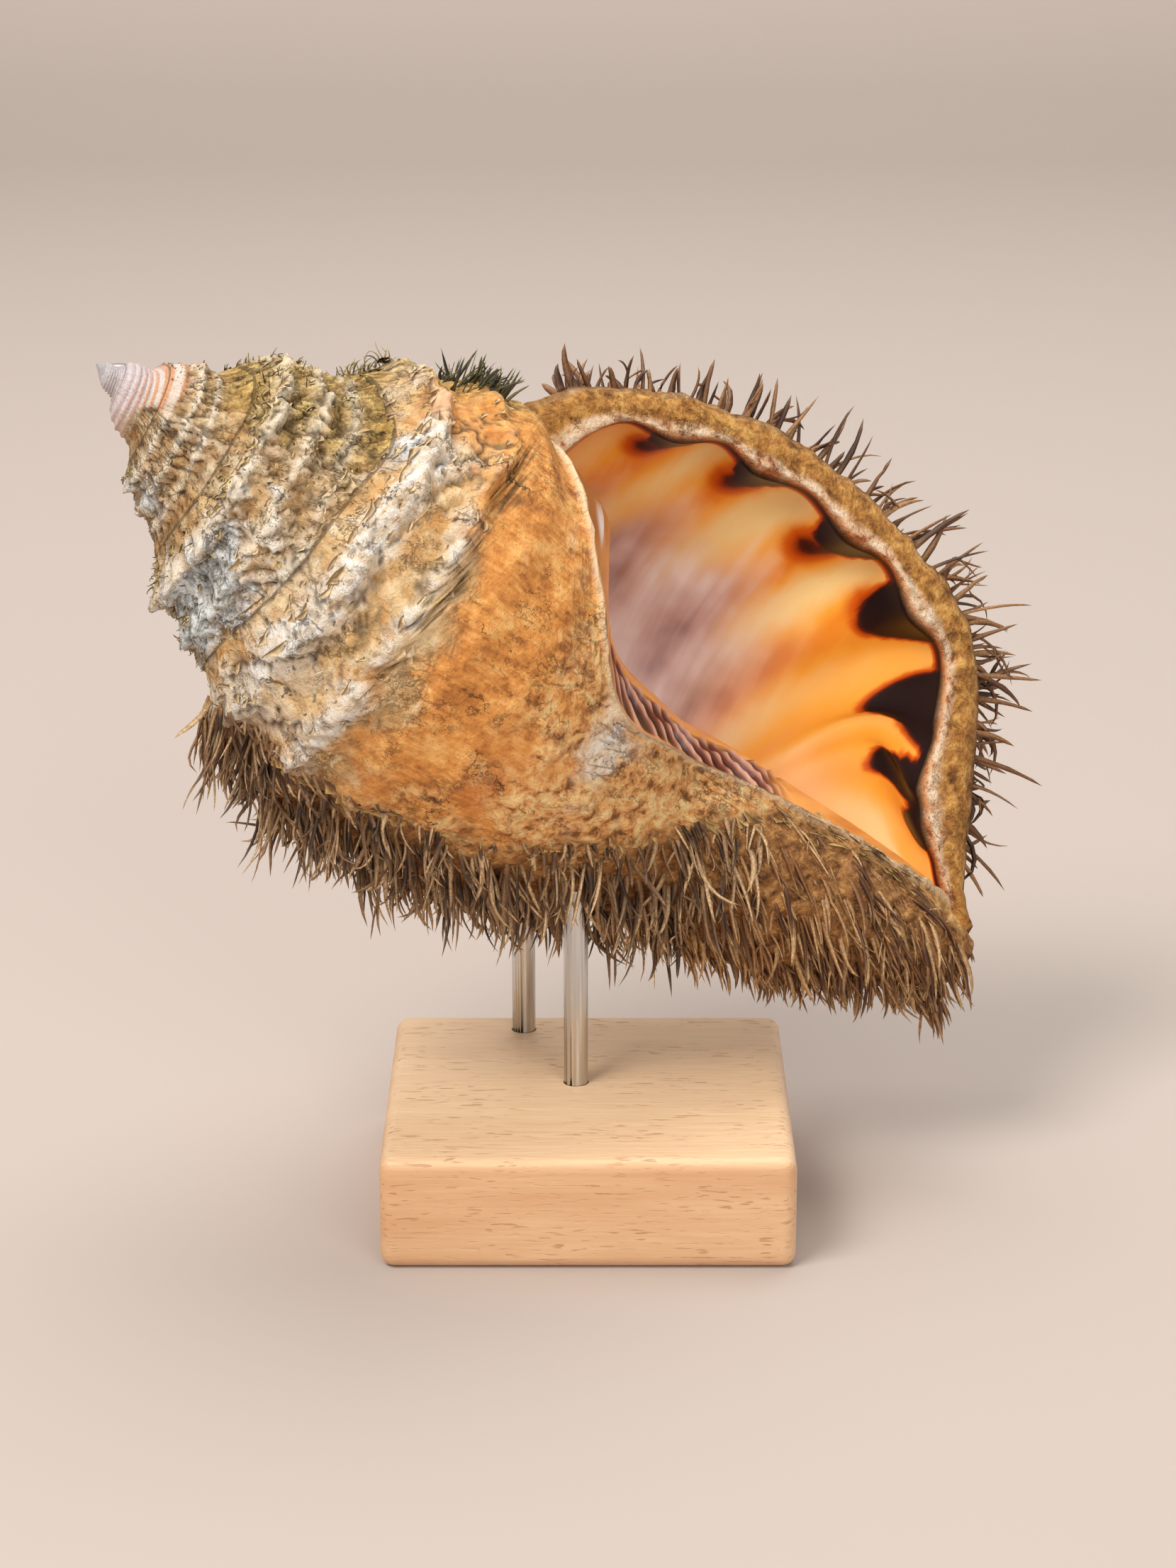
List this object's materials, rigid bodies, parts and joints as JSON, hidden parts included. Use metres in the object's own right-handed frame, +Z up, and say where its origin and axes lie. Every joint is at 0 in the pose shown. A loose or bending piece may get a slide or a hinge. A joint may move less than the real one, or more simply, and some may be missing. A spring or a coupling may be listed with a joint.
{
  "type": "hairy triton shell on a pin stand",
  "caption": "Whole hairy triton shell with a wide open aperture, bristly skin and short canal, held on steel pins in a square wooden block.",
  "frame": {"origin": "centre of the block's underside, on the surface that the stand rests on", "axes": "+Z up, -Y towards the viewer who looks into the aperture, +X towards the shell's canal and lip"},
  "size_m": [0.1115, 0.0724, 0.1051],
  "materials": {
    "shell": "satin",
    "bristles": "matte",
    "pins": "brushed",
    "block": "satin"
  },
  "bodies": {
    "root": {"shell": "shell", "bristles_lip": "bristles", "bristles_back": "bristles", "bristles_belly": "bristles", "bristles_neck": "bristles", "pin_front": "pins", "pin_rear": "pins", "block": "block"}
  },
  "joints": []
}
